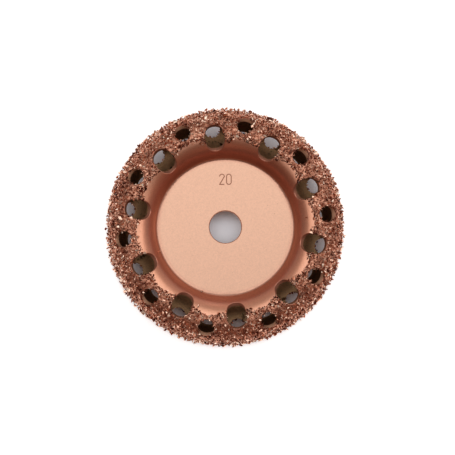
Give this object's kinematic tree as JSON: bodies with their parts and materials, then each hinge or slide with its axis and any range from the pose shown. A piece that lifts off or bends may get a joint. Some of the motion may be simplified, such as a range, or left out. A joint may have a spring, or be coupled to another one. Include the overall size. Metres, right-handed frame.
{
  "type": "angle grinder carving disc",
  "caption": "Round carving disc: flat centre plate with a bore, inside a hollow ring coated with coarse carbide grit and pierced by two sizes of hole.",
  "frame": {"origin": "middle of the bore, midway between the two centre plates", "axes": "+Z along the bore, out of the front face that carries the grit number; +Y from the bore towards the number; +X to its right"},
  "size_m": [0.0748, 0.0748, 0.0174],
  "materials": {
    "copper_plated_steel": "satin copper plating, matt from the brazing furnace, olive-brown inside the ring",
    "copper_braze": "copper braze as it set, slightly lumpy",
    "brazed_grit": "sharp coarse carbide grains wetted with copper braze"
  },
  "bodies": {
    "root": {"front_shell": "copper_plated_steel", "rear_shell": "copper_plated_steel", "hub_braze_film": "copper_braze", "rim_braze_seam": "copper_braze", "front_braze_coat": "copper_braze", "rear_braze_coat": "copper_braze", "front_grit_coat": "brazed_grit", "rear_grit_coat": "brazed_grit"}
  },
  "joints": []
}
